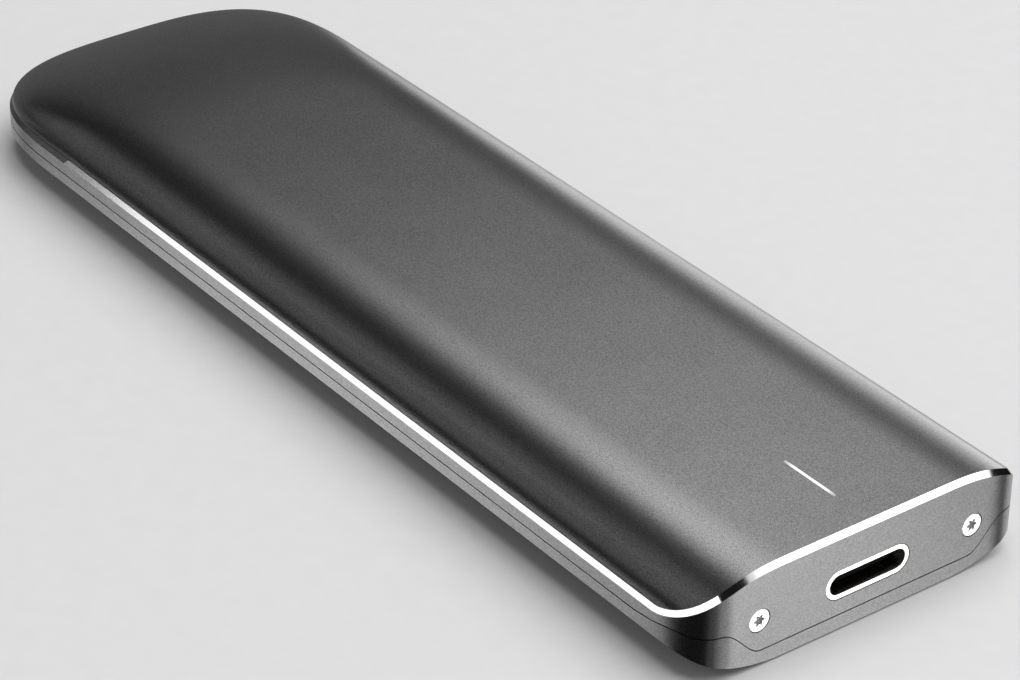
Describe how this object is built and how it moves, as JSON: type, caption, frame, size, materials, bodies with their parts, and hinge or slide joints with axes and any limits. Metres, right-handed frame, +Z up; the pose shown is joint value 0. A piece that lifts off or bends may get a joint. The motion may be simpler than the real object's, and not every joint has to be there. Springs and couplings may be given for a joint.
{
  "type": "portable solid state drive",
  "caption": "Slim stick-shaped portable solid state drive: two-part aluminium case with rounded shoulders and bright bevelled rim, USB-C socket in the flat end, boards inside.",
  "frame": {"origin": "centre of the overall box in X and Y, on the flat underside", "axes": "+X along the length, out of the USB-C socket; +Z up, out of the flat top; +Y across the width"},
  "size_m": [0.125, 0.038, 0.0103],
  "materials": {
    "anodised_top": "fine bead-blasted dark grey anodising, bright cut bevel at the rim",
    "anodised_base": "fine bead-blasted silver grey anodising",
    "screw_steel": "bright plated steel",
    "socket_steel": "bright stainless",
    "socket_plastic": "black moulded",
    "gold_plate": "gold plated",
    "diffuser": "milky white, lit from inside",
    "led_body": "small lamp package",
    "board_laminate": "dark green solder mask",
    "chip_black": "moulded package",
    "can_steel": "satin can",
    "ferrite": "pressed ferrite block",
    "ceramic_tan": "fired ceramic chip",
    "brass_plain": "turned brass",
    "pad_silicone": "soft silicone"
  },
  "bodies": {
    "root": {"top_cover": "anodised_top", "bottom_cover": "anodised_base", "end_screws": "screw_steel", "usb_shell": "socket_steel", "usb_tongue": "socket_plastic", "usb_contacts": "gold_plate", "light_pipe": "diffuser", "activity_led": "led_body", "bridge_board": "board_laminate", "bridge_chip": "chip_black", "firmware_chip": "chip_black", "crystal": "can_steel", "power_inductors": "ferrite", "board_capacitors": "ceramic_tan", "board_screws": "screw_steel", "module_socket": "socket_plastic", "socket_contacts": "gold_plate", "module_board": "board_laminate", "module_controller": "chip_black", "flash_chips": "chip_black", "module_power_chip": "chip_black", "module_capacitors": "ceramic_tan", "module_standoff": "brass_plain", "module_screw": "screw_steel", "thermal_pad": "pad_silicone"}
  },
  "joints": []
}
